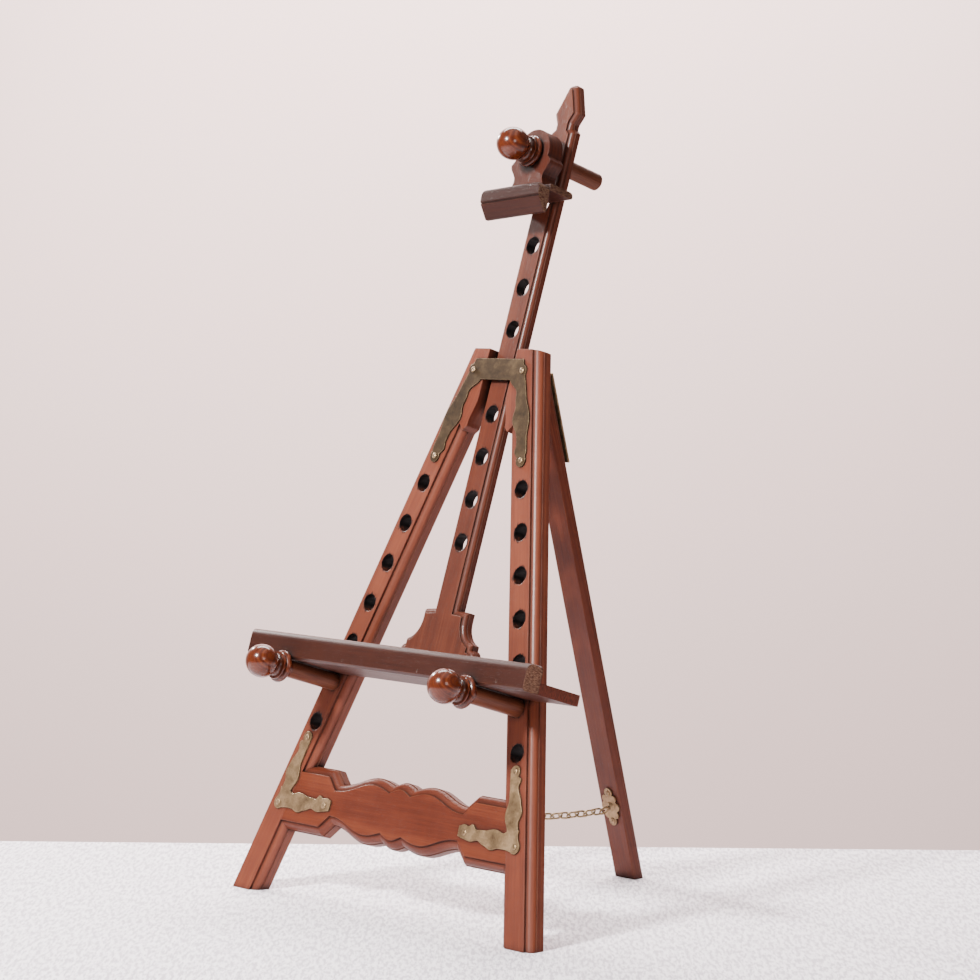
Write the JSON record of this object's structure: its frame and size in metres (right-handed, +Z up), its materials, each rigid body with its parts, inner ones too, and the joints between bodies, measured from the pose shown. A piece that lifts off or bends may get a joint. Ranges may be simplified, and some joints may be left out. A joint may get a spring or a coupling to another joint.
{
  "type": "tabletop artist easel",
  "caption": "Folding wooden tabletop easel: splayed legs, scalloped stretcher, sliding mast with a turning top clamp, pegged shelf, hinged rear leg and check chain.",
  "frame": {"origin": "on the floor, at the middle of the easel's bounding box", "axes": "+Z up; the picture faces -Y; +X is the right-hand leg seen from behind the picture's viewer, so the viewer's right"},
  "size_m": [0.4036, 0.3426, 0.7031],
  "materials": {
    "stained_wood": "satin reddish-brown stain over fine straight grain",
    "turned_wood": "glossier orange-brown stain on turned wood",
    "brass": "aged satin brass"
  },
  "bodies": {
    "frame": {"left_leg": "stained_wood", "right_leg": "stained_wood", "stretcher": "stained_wood", "stretcher_dowels": "turned_wood", "cross_block": "stained_wood", "block_screws": "brass", "top_plate": "brass", "top_plate_screws": "brass", "left_bracket": "brass", "right_bracket": "brass", "left_bracket_screws": "brass", "right_bracket_screws": "brass", "hinge_leaf": "brass", "hinge_leaf_screws": "brass", "hinge_pin": "brass", "front_eye": "brass"},
    "rear_leg": {"rear_leg": "stained_wood", "hinge_strap": "brass", "hinge_strap_screws": "brass", "rear_chain_plate": "brass", "rear_chain_plate_screws": "brass"},
    "mast": {"mast": "stained_wood"},
    "clamp": {"clamp_block": "stained_wood", "clamp_ledge": "stained_wood", "clamp_lip": "stained_wood", "clamp_nails": "brass"},
    "clamp_peg": {"clamp_peg": "turned_wood"},
    "shelf": {"shelf_board": "stained_wood", "shelf_lip": "stained_wood", "shelf_nails": "brass"},
    "left_peg": {"left_peg": "turned_wood"},
    "right_peg": {"right_peg": "turned_wood"},
    "front_chain": {"front_chain": "brass"},
    "rear_chain": {"rear_chain": "brass"}
  },
  "joints": [
    {"name": "fold", "type": "hinge", "parent": "frame", "child": "rear_leg", "pos_m": [0, 0.04205, 0.45248], "axis": [-1, 0, 0], "range_deg": [0, 31.32]},
    {"name": "mast_slide", "type": "slide", "parent": "frame", "child": "mast", "axis": [0, 0.3065, 0.9519], "range_m": [-0.098, 0.129]},
    {"name": "clamp_turn", "type": "hinge", "parent": "mast", "child": "clamp", "pos_m": [0, 0.05922, 0.63884], "axis": [0, -0.9519, 0.3065], "continuous": true},
    {"name": "clamp_peg_pull", "type": "slide", "parent": "mast", "child": "clamp_peg", "axis": [0, -0.9519, 0.3065], "range_m": [0, 0.085]},
    {"name": "shelf_lift", "type": "slide", "parent": "frame", "child": "shelf", "axis": [0, 0.2965, 0.955], "range_m": [0, 0.14]},
    {"name": "left_peg_pull", "type": "slide", "parent": "frame", "child": "left_peg", "axis": [0, -0.955, 0.2965], "range_m": [0, 0.085]},
    {"name": "right_peg_pull", "type": "slide", "parent": "frame", "child": "right_peg", "axis": [0, -0.955, 0.2965], "range_m": [0, 0.085]},
    {"name": "front_chain_swing", "type": "hinge", "parent": "frame", "child": "front_chain", "pos_m": [0, -0.07809, 0.09087], "axis": [-0.766, 0.176, 0.6183], "range_deg": [0, 91.06]},
    {"name": "rear_chain_swing", "type": "hinge", "parent": "rear_leg", "child": "rear_chain", "pos_m": [0, 0.125, 0.06322], "axis": [0.6324, -0.0096, 0.7746], "range_deg": [0, 98.55]}
  ],
  "couplings": [
    {"joint": "front_chain_swing", "follows": "fold", "ratio": 2.9069},
    {"joint": "rear_chain_swing", "follows": "fold", "ratio": 3.1463}
  ]
}
